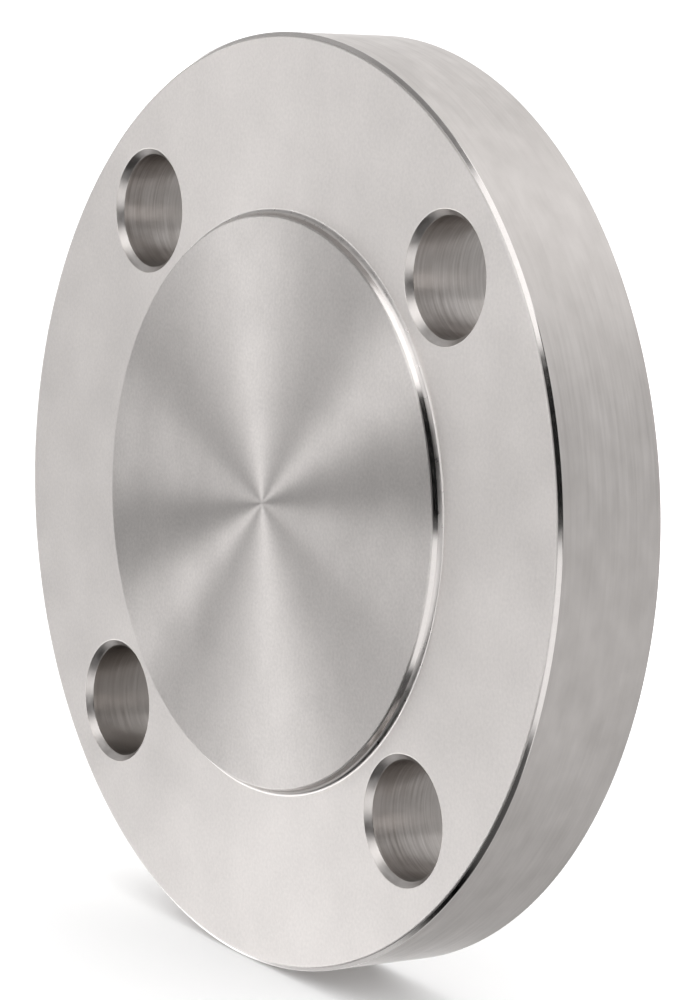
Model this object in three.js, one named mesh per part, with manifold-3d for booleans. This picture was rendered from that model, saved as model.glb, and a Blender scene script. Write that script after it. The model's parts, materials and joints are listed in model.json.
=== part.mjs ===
// Blind flange, NPS 2 Class 150, raised face: one stainless forging, machined all over.
// Millimetres, +Z up. The flange stands on its rim as it would be bolted to a level pipe:
// its axis lies along Y, the gasket face looks along -Y and is centred on the origin, and
// the bolt holes straddle the vertical centre line.

import * as THREE from 'three';
import { mergeVertices, toCreasedNormals } from 'three/addons/utils/BufferGeometryUtils.js';
import Module from 'manifold-3d';

// ---- Driving dimensions -------------------------------------------------------------------

const FLANGE_DIAMETER = 152.4;          // 6 in
const RING_THICKNESS = 20.0;            // from the ring around the raised face to the back
const RIM_CHAMFER = 0.7;                // 45 degree edge breaks of the rim, front and back

const RAISED_FACE_DIAMETER = 93.2;      // to the corner, before its edge is rounded
const RAISED_FACE_HEIGHT = 1.6;
const STEP_LEAN = 22 * Math.PI / 180;   // the step spreads by this from the axis, towards its foot
const STEP_EDGE_RADIUS = 0.4;           // rounding where the raised face meets the step
const STEP_FOOT_RADIUS = 1.0;           // fillet where the step meets the ring

const BOLT_CIRCLE_DIAMETER = 120.65;    // 4 3/4 in
const BOLT_HOLE_DIAMETER = 19.05;       // 3/4 in, for 5/8 in (M16) studs
const BOLT_HOLE_CHAMFER = 1.0;          // both mouths, 45 degrees
const BOLT_HOLE_COUNT = 4;

const RIM_SEGMENTS = 96;
const HOLE_SEGMENTS = 40;
const STEP_ARC_SEGMENTS = 3;
const CREASE_ANGLE = Math.PI / 9;       // edges sharper than this are shaded as corners

const STEEL_COLOUR = 0xc6c3bf;          // machined stainless, a slightly warm grey
const STEEL_ROUGHNESS = 0.34;
const STEEL_METALNESS = 1.0;

// ---- Turned blank -------------------------------------------------------------------------

// Adds an arc of the step's profile, from one angle to another. Angles are measured from the
// outward direction towards the back.
function addArc(profile, centreRadius, centreDepth, arcRadius, from, to) {
  for (let i = 0; i <= STEP_ARC_SEGMENTS; i += 1) {
    const angle = from + (to - from) * (i / STEP_ARC_SEGMENTS);
    profile.push(new THREE.Vector2(
      centreRadius + arcRadius * Math.cos(angle),
      centreDepth + arcRadius * Math.sin(angle),
    ));
  }
}

// The profile is drawn as (radius, distance behind the gasket face), from the centre of the
// gasket face outwards over the rim and back in along the rear face.
function blankProfile() {
  const rimRadius = FLANGE_DIAMETER / 2;
  const cornerRadius = RAISED_FACE_DIAMETER / 2;
  const back = RAISED_FACE_HEIGHT + RING_THICKNESS;

  // Both arcs turn by the angle between a flat face and the leaning step, and each one starts
  // or ends this far from the corner, times its radius.
  const turn = Math.PI / 2 - STEP_LEAN;
  const tangent = Math.tan(turn / 2);
  const footCorner = cornerRadius + RAISED_FACE_HEIGHT * Math.tan(STEP_LEAN);
  const edgeCentreRadius = cornerRadius - tangent * STEP_EDGE_RADIUS;
  const footCentreRadius = footCorner + tangent * STEP_FOOT_RADIUS;
  const footCentreDepth = RAISED_FACE_HEIGHT - STEP_FOOT_RADIUS;

  const profile = [new THREE.Vector2(0, 0)];
  addArc(profile, edgeCentreRadius, STEP_EDGE_RADIUS, STEP_EDGE_RADIUS, -Math.PI / 2, -STEP_LEAN);
  addArc(profile, footCentreRadius, footCentreDepth, STEP_FOOT_RADIUS, Math.PI - STEP_LEAN, Math.PI / 2);
  profile.push(
    new THREE.Vector2(rimRadius - RIM_CHAMFER, RAISED_FACE_HEIGHT),
    new THREE.Vector2(rimRadius, RAISED_FACE_HEIGHT + RIM_CHAMFER),
    new THREE.Vector2(rimRadius, back - RIM_CHAMFER),
    new THREE.Vector2(rimRadius - RIM_CHAMFER, back),
    new THREE.Vector2(0, back),
  );
  return profile;
}

// ---- Bolt holes ---------------------------------------------------------------------------

// One drill-shaped cutter: a cylinder that opens into a 45 degree cone at both mouths. Each
// cone runs on past its face, so the cutter never shares a plane with the blank.
function boltHoleProfile() {
  const overrun = 1;
  const drillRadius = BOLT_HOLE_DIAMETER / 2;
  const mouthRadius = drillRadius + BOLT_HOLE_CHAMFER;
  const front = RAISED_FACE_HEIGHT;
  const back = RAISED_FACE_HEIGHT + RING_THICKNESS;
  return [
    new THREE.Vector2(0, front - overrun),
    new THREE.Vector2(mouthRadius + overrun, front - overrun),
    new THREE.Vector2(drillRadius, front + BOLT_HOLE_CHAMFER),
    new THREE.Vector2(drillRadius, back - BOLT_HOLE_CHAMFER),
    new THREE.Vector2(mouthRadius + overrun, back + overrun),
    new THREE.Vector2(0, back + overrun),
  ];
}

function boltHoleCutter(index) {
  const angle = (index + 0.5) * (2 * Math.PI / BOLT_HOLE_COUNT);
  const radius = BOLT_CIRCLE_DIAMETER / 2;
  const cutter = new THREE.LatheGeometry(boltHoleProfile(), HOLE_SEGMENTS);
  cutter.translate(radius * Math.sin(angle), 0, radius * Math.cos(angle));
  return cutter;
}

// ---- Booleans -----------------------------------------------------------------------------

const wasm = await Module();
wasm.setup();

function toSolid(geometry) {
  const bare = geometry.clone();
  bare.deleteAttribute('normal');
  bare.deleteAttribute('uv');
  const merged = mergeVertices(bare);
  return new wasm.Manifold(new wasm.Mesh({
    numProp: 3,
    vertProperties: merged.attributes.position.array,
    triVerts: Uint32Array.from(merged.index.array),
  }));
}

function toGeometry(solid) {
  const mesh = solid.getMesh();
  const geometry = new THREE.BufferGeometry();
  geometry.setAttribute('position', new THREE.BufferAttribute(mesh.vertProperties, 3));
  geometry.setIndex(new THREE.BufferAttribute(mesh.triVerts, 1));
  return toCreasedNormals(geometry, CREASE_ANGLE);
}

// ---- The part -----------------------------------------------------------------------------

function makeBlindFlange() {
  let solid = toSolid(new THREE.LatheGeometry(blankProfile(), RIM_SEGMENTS));
  for (let i = 0; i < BOLT_HOLE_COUNT; i += 1) {
    solid = solid.subtract(toSolid(boltHoleCutter(i)));
  }
  const steel = new THREE.MeshStandardMaterial({
    color: STEEL_COLOUR,
    roughness: STEEL_ROUGHNESS,
    metalness: STEEL_METALNESS,
  });
  const flange = new THREE.Mesh(toGeometry(solid), steel);
  flange.name = 'blind_flange';
  return flange;
}

const part = new THREE.Group();
part.add(makeBlindFlange());

export default part;
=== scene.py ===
import json
import math

import bpy
import bmesh
from mathutils import Matrix, Vector


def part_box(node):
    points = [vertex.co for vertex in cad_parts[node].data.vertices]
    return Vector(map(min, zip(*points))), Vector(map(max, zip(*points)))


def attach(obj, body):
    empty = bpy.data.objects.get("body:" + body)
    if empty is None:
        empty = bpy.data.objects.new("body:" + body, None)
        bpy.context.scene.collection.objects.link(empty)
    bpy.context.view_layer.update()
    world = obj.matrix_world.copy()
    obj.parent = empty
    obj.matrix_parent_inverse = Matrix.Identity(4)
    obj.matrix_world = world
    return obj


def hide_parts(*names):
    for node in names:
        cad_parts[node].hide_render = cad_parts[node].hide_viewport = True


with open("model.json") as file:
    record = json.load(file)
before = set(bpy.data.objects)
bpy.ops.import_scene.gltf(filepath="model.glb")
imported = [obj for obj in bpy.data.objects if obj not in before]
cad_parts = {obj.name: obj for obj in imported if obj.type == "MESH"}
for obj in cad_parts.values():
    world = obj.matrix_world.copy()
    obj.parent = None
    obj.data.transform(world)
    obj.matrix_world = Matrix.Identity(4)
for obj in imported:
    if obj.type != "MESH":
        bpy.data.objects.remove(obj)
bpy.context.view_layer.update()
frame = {"nodes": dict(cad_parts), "record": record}

MM = 0.001

# ---- Sizes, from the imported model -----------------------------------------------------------

NODE = "blind_flange"
low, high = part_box(NODE)
mounts = {mount["name"]: mount for mount in frame["record"]["mounts"]}

rim_radius = (high.x - low.x) / 2
face_y = mounts["gasket_face"]["pos_m"][1]
ring_y = mounts["bolt_circle"]["pos_m"][1]
back_y = mounts["back_face"]["pos_m"][1]
bolt_circle_radius = mounts["bolt_circle"]["dims"]["pcd_mm"] * MM / 2
hole_radius = mounts["bolt_circle"]["dims"]["hole_r_mm"] * MM
hole_count = mounts["bolt_circle"]["dims"]["count"]

RIM_CHAMFER = 0.7 * MM
RIM_ROUNDINGS = (0.65 * MM, 0.2 * MM)    # of the rim chamfer's ends, on the flat face and on the rim
HOLE_CHAMFER = 1.0 * MM
HOLE_ROUNDINGS = (0.3 * MM, 0.3 * MM)
STEP_LEAN = 22.0                 # degrees: the step spreads from the axis, towards its foot
STEP_EDGE_RADIUS = 0.4 * MM
STEP_FOOT_RADIUS = 1.0 * MM

# Both of the step's arcs turn by the angle between a flat face and the leaning step, and each
# starts or ends this far from the corner, times its radius.
STEP_TURN = 90.0 - STEP_LEAN
step_tangent = math.tan(math.radians(STEP_TURN / 2))

# The raised face is flat out to the CAD's outermost front vertices; the step's edge starts there.
FLATNESS = 0.01 * MM             # vertices this close to the front plane lie on it
face_flat_radius = max(
    math.hypot(v.co.x, v.co.z)
    for v in frame["nodes"][NODE].data.vertices
    if v.co.y < face_y + FLATNESS
)
foot_corner = (
    face_flat_radius + step_tangent * STEP_EDGE_RADIUS
    + (ring_y - face_y) * math.tan(math.radians(STEP_LEAN))
)
foot_radius = foot_corner + step_tangent * STEP_FOOT_RADIUS

RIM_SEGMENTS = 480
HOLE_SEGMENTS = 144
CORNER_STEPS = 6
FILLET_STEPS = 12
FACE_RING_COUNT = 12             # rings of faces across each flat disc
PLACE_DIGITS = 7                 # rings of vertices whose places agree to this many digits are one


# ---- Materials ------------------------------------------------------------------------------

STEEL = (0.635, 0.606, 0.59)      # bare stainless, a slightly warm grey

# How fine each procedural mark is, as a noise scale: about this many fit in a metre. Those with
# three numbers are stretched, and have one scale each along X, Y and Z.
FACE_RINGS = 3200.0              # the tool's rings on the turned faces
FACE_CLOUD = 90.0
FACE_GRAIN = 1800.0
RIM_STREAKS = (60.0, 1800.0, 60.0)
RIM_MOTTLING = (160.0, 300.0, 160.0)
RIM_CLOUD = 45.0
EDGE_NICKS = 700.0
MOUTH_CHATTER = (500.0, 1500.0, 500.0)
HOLE_RINGS = (90.0, 2200.0, 90.0)
HOLE_CLOUD = 260.0
NOISE_LOW, NOISE_HIGH = 0.25, 0.75    # nearly all values of a noise lie between these
QUARTER_TURN = 0.25
PAINTED_HOLE_SHADE = -0.5           # painted shade: what the hole towards -X and -Z takes off a noise between 0 and 1


class Nodes:
    """Short forms for building a node tree."""

    def __init__(self, tree):
        self.tree = tree
        tree.nodes.clear()

    def add(self, kind, **settings):
        node = self.tree.nodes.new(kind)
        for key, value in settings.items():
            setattr(node, key, value)
        return node

    def link(self, value, socket):
        if isinstance(value, bpy.types.NodeSocket):
            self.tree.links.new(value, socket)
        else:
            socket.default_value = value

    def call(self, kind, operation, *values):
        node = self.add(kind, operation=operation)
        for socket, value in zip(node.inputs, values):
            self.link(value, socket)
        return node.outputs[0]

    def math(self, operation, *values):
        return self.call("ShaderNodeMath", operation, *values)

    def vector(self, operation, *values):
        return self.call("ShaderNodeVectorMath", operation, *values)

    def scaled(self, vector, factor):
        node = self.add("ShaderNodeVectorMath", operation="SCALE")
        self.link(vector, node.inputs["Vector"])
        self.link(factor, node.inputs["Scale"])
        return node.outputs[0]

    def between(self, value, low_out, high_out, low_in=0.0, high_in=1.0):
        node = self.add("ShaderNodeMapRange")
        settings = {
            "Value": value, "From Min": low_in, "From Max": high_in, "To Min": low_out, "To Max": high_out,
        }
        for key, setting in settings.items():
            self.link(setting, node.inputs[key])
        return node.outputs["Result"]

    def noise(self, place, scale, detail=2.0):
        node = self.add("ShaderNodeTexNoise")
        self.link(place, node.inputs["Vector"])
        self.link(scale, node.inputs["Scale"])
        self.link(detail, node.inputs["Detail"])
        return node.outputs["Fac"]

    def stretched_noise(self, place, scales, detail=2.0):
        return self.noise(self.vector("MULTIPLY", place, scales), 1.0, detail)


class Steel:
    """A bare steel material, places and directions on the flange, and what a finish changes."""

    def __init__(self, name, reflectance, roughness, anisotropic=0.0):
        self.material = bpy.data.materials.new(name)
        self.material.use_nodes = True
        self.n = n = Nodes(self.material.node_tree)
        self.colour = [channel * reflectance for channel in STEEL]
        self.roughness = roughness
        self.shader = n.add("ShaderNodeBsdfPrincipled")
        output = n.add("ShaderNodeOutputMaterial")
        n.link(self.shader.outputs[0], output.inputs["Surface"])
        self.shader.inputs["Metallic"].default_value = 1.0
        self.shader.inputs["Anisotropic"].default_value = anisotropic

        self.position = n.add("ShaderNodeTexCoord").outputs["Object"]

    def across(self):
        """The distances from the flange's axis along X and along Z."""
        parts = self.n.add("ShaderNodeSeparateXYZ")
        self.n.link(self.position, parts.inputs[0])
        return parts.outputs["X"], parts.outputs["Z"]

    def radius(self):
        n = self.n
        x, z = self.across()
        return n.math("SQRT", n.math("ADD", n.math("MULTIPLY", x, x), n.math("MULTIPLY", z, z)))

    def outward(self):
        return self.n.vector("NORMALIZE", self.n.vector("MULTIPLY", self.position, (1.0, 0.0, 1.0)))

    def axial(self):
        direction = self.n.add("ShaderNodeCombineXYZ")
        direction.inputs["Y"].default_value = 1.0
        return direction.outputs[0]

    def spread_along_radius(self):
        """Widens the highlight along the radius: round the flange, then a quarter turn."""
        tangent = self.n.add("ShaderNodeTangent", direction_type="RADIAL", axis="Y")
        self.n.link(tangent.outputs[0], self.shader.inputs["Tangent"])
        self.shader.inputs["Anisotropic Rotation"].default_value = QUARTER_TURN

    def spread_along_axis(self):
        self.n.link(self.axial(), self.shader.inputs["Tangent"])

    def lean(self, direction, marks, slope):
        """Leans the normal along a direction, up to a small slope, by marks between 0 and 1."""
        normal = self.n.add("ShaderNodeNewGeometry").outputs["Normal"]
        amount = self.n.between(marks, -slope, slope)
        leant = self.n.vector("ADD", normal, self.n.scaled(direction, amount))
        self.n.link(self.n.vector("NORMALIZE", leant), self.shader.inputs["Normal"])

    def vary_roughness(self, factor, spread):
        smoothest, roughest = self.roughness - spread, self.roughness + spread
        varied = self.n.between(factor, smoothest, roughest, NOISE_LOW, NOISE_HIGH)
        self.n.link(varied, self.shader.inputs["Roughness"])

    def vary_colour(self, factor, darkest, lightest, warmth=0.0):
        """Steel colour times a varying brightness. The dark end may be warmer than the light one."""
        mix = self.n.add("ShaderNodeMix", data_type="RGBA")
        self.n.link(self.n.between(factor, 0.0, 1.0, NOISE_LOW, NOISE_HIGH), mix.inputs["Factor"])
        warm = (1.0, 1.0 - warmth / 2, 1.0 - warmth)
        dark = [channel * darkest * tone for channel, tone in zip(self.colour, warm)]
        mix.inputs["A"].default_value = (*dark, 1.0)
        mix.inputs["B"].default_value = (*[channel * lightest for channel in self.colour], 1.0)
        self.n.link(mix.outputs["Result"], self.shader.inputs["Base Color"])

    def mean(self, *factors):
        total = factors[0]
        for factor in factors[1:]:
            total = self.n.math("ADD", total, factor)
        return self.n.math("DIVIDE", total, float(len(factors)))


def turned_face(name, reflectance, roughness, anisotropic, slope, unevenness):
    """A face cut by a tool that moved along the radius, so its marks are fine rings."""
    steel = Steel(name, reflectance, roughness, anisotropic)
    steel.spread_along_radius()
    n = steel.n
    rings = n.add("ShaderNodeTexNoise", noise_dimensions="1D")
    n.link(steel.radius(), rings.inputs["W"])
    n.link(FACE_RINGS, rings.inputs["Scale"])
    steel.lean(steel.outward(), rings.outputs["Fac"], slope)
    cloud = n.noise(steel.position, FACE_CLOUD, detail=3.0)
    grain = n.noise(steel.position, FACE_GRAIN, detail=3.0)
    steel.vary_roughness(cloud, spread=roughness * 0.05)
    steel.vary_colour(steel.mean(cloud, grain), 1.0 - unevenness, 1.0 + unevenness)
    return steel.material


def turned_rim():
    """The rim's marks run round it, under a soft mottling."""
    steel = Steel("turned_rim", reflectance=1.05, roughness=0.5)
    n = steel.n
    streaks = n.stretched_noise(steel.position, RIM_STREAKS)
    steel.lean(steel.axial(), streaks, slope=0.12)
    mottling = n.stretched_noise(steel.position, RIM_MOTTLING, detail=4.0)
    cloud = n.noise(steel.position, RIM_CLOUD)
    steel.vary_roughness(mottling, spread=0.04)
    patches = steel.mean(mottling, mottling, cloud, streaks)
    steel.vary_colour(patches, darkest=0.84, lightest=1.16, warmth=0.02)
    return steel.material


def bright_edges(name, roughness):
    """Narrow smooth strips that catch the light: the rim's chamfers, the step and its foot."""
    steel = Steel(name, reflectance=1.05, roughness=roughness)
    nicks = steel.n.noise(steel.position, EDGE_NICKS, detail=3.0)
    steel.vary_roughness(nicks, spread=roughness * 0.25)
    steel.vary_colour(nicks, darkest=0.96, lightest=1.04)
    return steel.material


def countersunk_mouths():
    """The hole chamfers are satin, with faint rings."""
    steel = Steel("countersunk_mouths", reflectance=1.1, roughness=0.34)
    chatter = steel.n.stretched_noise(steel.position, MOUTH_CHATTER, detail=3.0)
    steel.vary_roughness(chatter, spread=0.06)
    steel.vary_colour(chatter, darkest=0.9, lightest=1.1, warmth=0.03)
    return steel.material


def drilled_holes():
    """The drill leaves rings of uneven depth along each hole's own axis. The hole towards -X and
    -Z has painted shade: its colour is less bright than that of the other three."""
    # The bores' steel has a lower reflectance than the faces' steel. This is painted shade of the deep
    # holes.
    steel = Steel("drilled_holes", reflectance=0.87, roughness=0.34, anisotropic=0.8)
    steel.spread_along_axis()
    n = steel.n
    rings = n.stretched_noise(steel.position, HOLE_RINGS, detail=3.0)
    steel.lean(steel.axial(), rings, slope=0.15)
    cloud = n.noise(steel.position, HOLE_CLOUD, detail=4.0)
    steel.vary_roughness(cloud, spread=0.06)
    # Painted shade: the colour is made less bright towards -X and -Z, over the hole on that side.
    diagonal = n.math("ADD", *steel.across())
    painted_shade = n.between(diagonal, PAINTED_HOLE_SHADE, 0.0, -bolt_circle_radius, 0.0)
    marks_and_painted_shade = n.math("ADD", steel.mean(rings, cloud), painted_shade)
    steel.vary_colour(marks_and_painted_shade, darkest=0.78, lightest=1.22, warmth=0.05)
    return steel.material


FINISHES = {
    "gasket": turned_face(
        "gasket_face_turned", reflectance=1.03, roughness=0.356, anisotropic=1.0,
        slope=0.03, unevenness=0.16,
    ),
    "ring": turned_face(
        "ring_face_satin", reflectance=1.1, roughness=0.42, anisotropic=0.6,
        slope=0.02, unevenness=0.1,
    ),
    "rim": turned_rim(),
    "edge": bright_edges("bright_edges", roughness=0.13),
    "foot": bright_edges("step_foot", roughness=0.32),
    "mouth": countersunk_mouths(),
    "hole": drilled_holes(),
    "back": turned_face(
        "back_face_turned", reflectance=1.05, roughness=0.38, anisotropic=0.9,
        slope=0.03, unevenness=0.14,
    ),
}
FINISH_INDEX = {name: index for index, name in enumerate(FINISHES)}


# ---- The flange's mesh ----------------------------------------------------------------------

# A profile is a list of strips. Each strip has a finish and points (radius, y, normal), with
# the normal as (outward, along Y); strips that meet share their end points, not their normals.

def line(finish, start, end):
    run, rise = end[0] - start[0], end[1] - start[1]
    length = math.hypot(run, rise)
    normal = (rise / length, -run / length)
    return finish, [(*start, normal), (*end, normal)]


def arc(finish, centre, radius, first, last, steps, hollow=False):
    """Angles in degrees, from the outward direction towards +Y."""
    points = []
    for i in range(steps + 1):
        angle = math.radians(first + (last - first) * i / steps)
        direction = (math.cos(angle), math.sin(angle))
        sign = -1 if hollow else 1
        points.append((
            centre[0] + radius * direction[0],
            centre[1] + radius * direction[1],
            (sign * direction[0], sign * direction[1]),
        ))
    return finish, points


CHAMFER_TURN = 45.0              # degrees between a face and a chamfer


def chamfered_corner(finishes, corner, size, roundings, first):
    """A 45 degree chamfer of an outer corner, with its two ends rounded. finishes are those of
    the first end, the chamfer and the last end. first is the angle of the normal before the
    corner, in degrees."""
    turn = math.radians(first)
    before = (math.cos(turn), math.sin(turn))
    after = (-before[1], before[0])
    tangent = math.tan(math.radians(CHAMFER_TURN / 2))
    first_pull, last_pull = (rounding * tangent for rounding in roundings)
    middle_angle, last_angle = first + CHAMFER_TURN, first + 2 * CHAMFER_TURN

    def at(along_before, along_after):
        return (
            corner[0] + along_before * before[0] + along_after * after[0],
            corner[1] + along_before * before[1] + along_after * after[1],
        )

    first_centre = at(-roundings[0], -size - first_pull)
    last_centre = at(-size - last_pull, -roundings[1])
    first_arc = arc(finishes[0], first_centre, roundings[0], first, middle_angle, CORNER_STEPS)
    last_arc = arc(finishes[2], last_centre, roundings[1], middle_angle, last_angle, CORNER_STEPS)
    middle = line(finishes[1], first_arc[1][-1][:2], last_arc[1][0][:2])
    return [first_arc, middle, last_arc]


def ends(strips):
    return strips[0][1][0][:2], strips[-1][1][-1][:2]


RIM_FINISHES = ("ring", "edge", "edge")
MOUTH_FINISHES = ("mouth", "mouth", "mouth")

front_chamfer = chamfered_corner(RIM_FINISHES, (rim_radius, ring_y), RIM_CHAMFER, RIM_ROUNDINGS, -90)
back_chamfer = chamfered_corner(
    RIM_FINISHES[::-1], (rim_radius, back_y), RIM_CHAMFER, RIM_ROUNDINGS[::-1], 0,
)
step_edge = arc("gasket", (face_flat_radius, face_y + STEP_EDGE_RADIUS),
                STEP_EDGE_RADIUS, -90, STEP_TURN - 90, CORNER_STEPS)
foot = arc("foot", (foot_radius, ring_y - STEP_FOOT_RADIUS),
           STEP_FOOT_RADIUS, 90 + STEP_TURN, 90, FILLET_STEPS, hollow=True)

outer_strips = [
    step_edge,
    line("edge", step_edge[1][-1][:2], foot[1][0][:2]),
    foot,
    *front_chamfer,
    line("rim", ends(front_chamfer)[1], ends(back_chamfer)[0]),
    *back_chamfer,
]

# The hole's profile is measured from its own axis and its normals point inwards.
def hole_strips():
    front = chamfered_corner(MOUTH_FINISHES, (-hole_radius, ring_y), HOLE_CHAMFER, HOLE_ROUNDINGS, -90)
    back = chamfered_corner(MOUTH_FINISHES, (-hole_radius, back_y), HOLE_CHAMFER, HOLE_ROUNDINGS, 0)
    strips = [*front, line("hole", ends(front)[1], ends(back)[0]), *back]
    return [
        (finish, [(-radius, y, (-normal[0], normal[1])) for radius, y, normal in points])
        for finish, points in strips
    ]


class Builder:
    """Collects rings of vertices, faces with their finish, and the normal at each face corner."""

    def __init__(self):
        self.mesh = bmesh.new()
        self.rings = {}
        self.corners = {}

    def ring(self, centre, radius, y, count):
        places = (centre[0], centre[1], radius, y)
        key = (*[round(place, PLACE_DIGITS) for place in places], count)
        if key not in self.rings:
            self.rings[key] = [
                self.mesh.verts.new((
                    centre[0] + radius * math.cos(2 * math.pi * i / count),
                    y,
                    centre[1] + radius * math.sin(2 * math.pi * i / count),
                ))
                for i in range(count)
            ]
        return self.rings[key]

    def face(self, verts, normals, finish):
        face = self.mesh.faces.new(verts)
        face.material_index = FINISH_INDEX[finish]
        face.smooth = True
        self.corners[face] = {vert: normal for vert, normal in zip(verts, normals)}

    def sweep(self, strips, centre, count, inward=False):
        for finish, points in strips:
            for (r0, y0, n0), (r1, y1, n1) in zip(points, points[1:]):
                first = self.ring(centre, r0, y0, count)
                second = self.ring(centre, r1, y1, count)
                for i in range(count):
                    j = (i + 1) % count
                    verts = [first[i], second[i], second[j], first[j]]
                    turns = [2 * math.pi * k / count for k in (i, i, j, j)]
                    slopes = [n0, n1, n1, n0]
                    normals = [
                        Vector((s[0] * math.cos(t), s[1], s[0] * math.sin(t)))
                        for s, t in zip(slopes, turns)
                    ]
                    if inward:
                        verts.reverse()
                        normals.reverse()
                    self.face(verts, normals, finish)

    def disc(self, y, radii, normal, finish):
        """A flat disc of rings around a middle point."""
        middle = self.mesh.verts.new((0, y, 0))
        inner = self.ring((0, 0), radii[0], y, RIM_SEGMENTS)
        for i in range(RIM_SEGMENTS):
            j = (i + 1) % RIM_SEGMENTS
            verts = [middle, inner[i], inner[j]]
            if normal.y > 0:
                verts.reverse()
            self.face(verts, [normal] * 3, finish)
        for r0, r1 in zip(radii, radii[1:]):
            first, second = self.ring((0, 0), r0, y, RIM_SEGMENTS), self.ring((0, 0), r1, y, RIM_SEGMENTS)
            for i in range(RIM_SEGMENTS):
                j = (i + 1) % RIM_SEGMENTS
                verts = [first[i], second[i], second[j], first[j]]
                if normal.y > 0:
                    verts.reverse()
                self.face(verts, [normal] * 4, finish)

    def plate(self, loops, normal, finish):
        """Fills the flat space between an outer loop, an inner loop and the hole mouths."""
        edges = []
        for loop in loops:
            for a, b in zip(loop, loop[1:] + loop[:1]):
                edge = self.mesh.edges.get((a, b)) or self.mesh.edges.new((a, b))
                edges.append(edge)
        made = bmesh.ops.triangle_fill(self.mesh, use_beauty=True, edges=edges, normal=normal)
        for face in made["geom"]:
            if not isinstance(face, bmesh.types.BMFace):
                continue
            if face.normal.dot(normal) < 0:
                face.normal_flip()
            face.material_index = FINISH_INDEX[finish]
            face.smooth = True
            self.corners[face] = {vert: normal for vert in face.verts}

    def object(self, name):
        self.mesh.faces.ensure_lookup_table()
        normals = [
            self.corners[face][loop.vert].normalized()[:]
            for face in self.mesh.faces
            for loop in face.loops
        ]
        data = bpy.data.meshes.new(name)
        self.mesh.to_mesh(data)
        self.mesh.free()
        for material in FINISHES.values():
            data.materials.append(material)
        data.normals_split_custom_set(normals)
        piece = bpy.data.objects.new(name, data)
        bpy.context.scene.collection.objects.link(piece)
        return piece


def build_flange():
    build = Builder()
    axis = (0.0, 0.0)
    front, rear = Vector((0, -1, 0)), Vector((0, 1, 0))
    build.sweep(outer_strips, axis, RIM_SEGMENTS)

    radii = [face_flat_radius * (i + 1) / FACE_RING_COUNT for i in range(FACE_RING_COUNT)]
    build.disc(face_y, radii, front, "gasket")

    strips = hole_strips()
    (mouth_radius, mouth_y), (rear_radius, rear_y) = ends(strips)
    front_mouths, rear_mouths = [], []
    for i in range(hole_count):
        angle = (i + 0.5) * 2 * math.pi / hole_count
        centre = (bolt_circle_radius * math.cos(angle), bolt_circle_radius * math.sin(angle))
        build.sweep(strips, centre, HOLE_SEGMENTS, inward=True)
        front_mouths.append(build.ring(centre, mouth_radius, mouth_y, HOLE_SEGMENTS))
        rear_mouths.append(build.ring(centre, rear_radius, rear_y, HOLE_SEGMENTS))

    ring_inner = build.ring(axis, *foot[1][-1][:2], RIM_SEGMENTS)
    ring_outer = build.ring(axis, *ends(front_chamfer)[0], RIM_SEGMENTS)
    build.plate([ring_outer, ring_inner, *front_mouths], front, "ring")

    build.disc(back_y, radii, rear, "back")
    hub = build.ring(axis, face_flat_radius, back_y, RIM_SEGMENTS)
    back_outer = build.ring(axis, *ends(back_chamfer)[1], RIM_SEGMENTS)
    build.plate([back_outer, hub, *rear_mouths], rear, "back")
    return build.object("flange_forging")


flange = build_flange()
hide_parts(NODE)
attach(flange, "root")


# ---- Floor ----------------------------------------------------------------------------------

FLOOR_RADIUS = 12.0
FLOOR_SEGMENTS = 64
FLOOR_COLOUR = (0.9, 0.9, 0.9, 1.0)


def build_floor():
    mesh = bmesh.new()
    bmesh.ops.create_circle(mesh, cap_ends=True, segments=FLOOR_SEGMENTS, radius=FLOOR_RADIUS)
    data = bpy.data.meshes.new("floor")
    mesh.to_mesh(data)
    mesh.free()
    material = bpy.data.materials.new("pale_floor")
    material.use_nodes = True
    n = Nodes(material.node_tree)
    shader = n.add("ShaderNodeBsdfDiffuse")
    shader.inputs["Color"].default_value = FLOOR_COLOUR
    output = n.add("ShaderNodeOutputMaterial")
    n.link(shader.outputs[0], output.inputs["Surface"])
    data.materials.append(material)
    floor = bpy.data.objects.new("floor", data)
    floor.location.z = low.z
    floor.visible_glossy = False
    bpy.context.scene.collection.objects.link(floor)


build_floor()


# ---- Light ----------------------------------------------------------------------------------

# The steel mirrors a ring of softboxes and dark gaps around the flange's axis. Each one starts
# at an angle about that axis and ends where the next one starts: 0 is level on the +X side,
# 90 is straight up, 180 is level on the -X side. Its four brightnesses are those of its parts
# straight ahead of the gasket face, ahead of it, beside the flange and behind it; 1 shows as
# plain white.
SOFTBOXES = {
    "left_lamp_lower_half": (-180, (0.2, 1.6, 0.0, 2.6)),
    "left_window": (-175, (0.8, 0.2, 2.6, 2.6)),
    "left_table": (-160, (2.2, 2.2, 1.0, 2.6)),
    "left_floor": (-138, (0.0, 0.0, 0.8, 0.6)),
    "right_floor": (-85, (1.4, 0.1, 0.1, 0.6)),
    "right_table": (-52, (0.8, 1.2, 1.2, 0.6)),
    "right_wall": (-2, (0.0, 0.0, 0.0, 0.6)),
    "overhead": (50, (0.0, 1.5, 1.7, 1.0)),
    "left_wall": (95, (1.8, 0.3, 0.5, 0.8)),
    "left_lamp_upper_half": (170, (0.2, 1.6, 0.0, 2.6)),
}
SOFTBOX_FADE = 4.0               # degrees over which one gives way to the next
STRAIGHT_AHEAD = (0.84, 0.89)    # |y| of a direction where ahead gives way to straight ahead
BESIDE = (0.21, 0.31)            # |y| of a direction where beside gives way to ahead or behind
BACKDROP = 1.5                   # the plain white that the camera and the floor see


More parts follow.
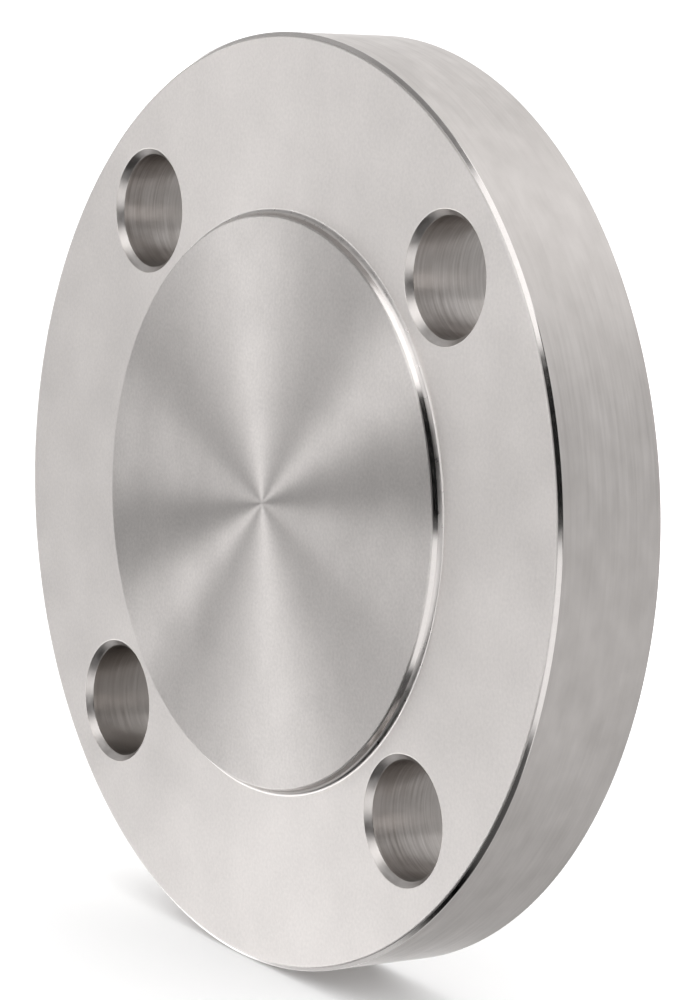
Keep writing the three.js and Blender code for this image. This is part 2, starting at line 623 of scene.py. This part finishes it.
def softbox_ramp(n, angle, brightest):
    """A ramp over the angle whose four channels are the brightnesses, over the brightest one."""
    ramp = n.add("ShaderNodeValToRGB")
    elements = ramp.color_ramp.elements
    starts = [start for start, levels in SOFTBOXES.values()]
    for (start, levels), end in zip(SOFTBOXES.values(), starts[1:] + [180]):
        for place in (start + SOFTBOX_FADE / 2, end - SOFTBOX_FADE / 2):
            element = elements.new((place + 180) / 360)
            element.color = [level / brightest for level in levels]
    elements.remove(elements[0])
    elements.remove(elements[-1])
    n.link(n.between(angle, 0.0, 1.0, -math.pi, math.pi), ramp.inputs["Fac"])
    return ramp.outputs


def build_world():
    world = bpy.data.worlds.new("studio")
    bpy.context.scene.world = world
    world.use_nodes = True
    n = Nodes(world.node_tree)
    parts = n.add("ShaderNodeSeparateXYZ")
    n.link(n.add("ShaderNodeTexCoord").outputs["Generated"], parts.inputs[0])
    x, y, z = parts.outputs

    straight = n.between(y, 1.0, 0.0, -STRAIGHT_AHEAD[1], -STRAIGHT_AHEAD[0])
    front = n.between(y, 1.0, 0.0, -BESIDE[1], -BESIDE[0])
    behind = n.between(y, 0.0, 1.0, BESIDE[0], BESIDE[1])
    ahead = n.math("SUBTRACT", front, straight)
    beside = n.math("SUBTRACT", n.math("SUBTRACT", 1.0, front), behind)
    shares = n.add("ShaderNodeCombineXYZ")
    for share, socket in zip((straight, ahead, beside), shares.inputs):
        n.link(share, socket)

    brightest = max(max(levels) for start, levels in SOFTBOXES.values())
    ramp = softbox_ramp(n, n.math("ARCTAN2", z, x), brightest)
    dot = n.add("ShaderNodeVectorMath", operation="DOT_PRODUCT")
    n.link(ramp["Color"], dot.inputs[0])
    n.link(shares.outputs[0], dot.inputs[1])
    light = n.math("ADD", dot.outputs["Value"], n.math("MULTIPLY", ramp["Alpha"], behind))

    studio = n.add("ShaderNodeBackground")
    n.link(n.math("MULTIPLY", light, brightest), studio.inputs["Strength"])
    studio.inputs["Color"].default_value = (1, 1, 1, 1)
    plain = n.add("ShaderNodeBackground")
    plain.inputs["Color"].default_value = (1, 1, 1, 1)
    plain.inputs["Strength"].default_value = BACKDROP
    mix = n.add("ShaderNodeMixShader")
    n.link(n.add("ShaderNodeLightPath").outputs["Is Glossy Ray"], mix.inputs[0])
    n.link(plain.outputs[0], mix.inputs[1])
    n.link(studio.outputs[0], mix.inputs[2])
    output = n.add("ShaderNodeOutputWorld")
    n.link(mix.outputs[0], output.inputs["Surface"])


build_world()


# ---- Camera ---------------------------------------------------------------------------------

VIEW_AZIMUTH = 54.54             # degrees
VIEW_ELEVATION = 9.66
VIEW_ROLL = -4.25
VIEW_DISTANCE = 643.2 * MM
VIEW_TARGET = Vector((2.73 * MM, 14.73 * MM, 0.47 * MM))
LENS = 141.1                     # focal length and sensor width in millimetres
SENSOR = 36.0


def build_camera():
    azimuth, elevation = math.radians(VIEW_AZIMUTH), math.radians(VIEW_ELEVATION)
    forward = Vector((
        -math.sin(azimuth) * math.cos(elevation),
        math.cos(azimuth) * math.cos(elevation),
        -math.sin(elevation),
    ))
    right = forward.cross(Vector((0, 0, 1))).normalized()
    up = right.cross(forward)
    roll = Matrix.Rotation(math.radians(VIEW_ROLL), 3, forward)
    right, up = roll @ right, roll @ up
    data = bpy.data.cameras.new("camera")
    data.lens = LENS
    data.sensor_width = SENSOR
    camera = bpy.data.objects.new("camera", data)
    axes = Matrix((right, up, -forward)).transposed().to_4x4()
    camera.matrix_world = Matrix.Translation(VIEW_TARGET - forward * VIEW_DISTANCE) @ axes
    bpy.context.scene.collection.objects.link(camera)
    bpy.context.scene.camera = camera


build_camera()
bpy.context.scene.view_settings.view_transform = "Standard"
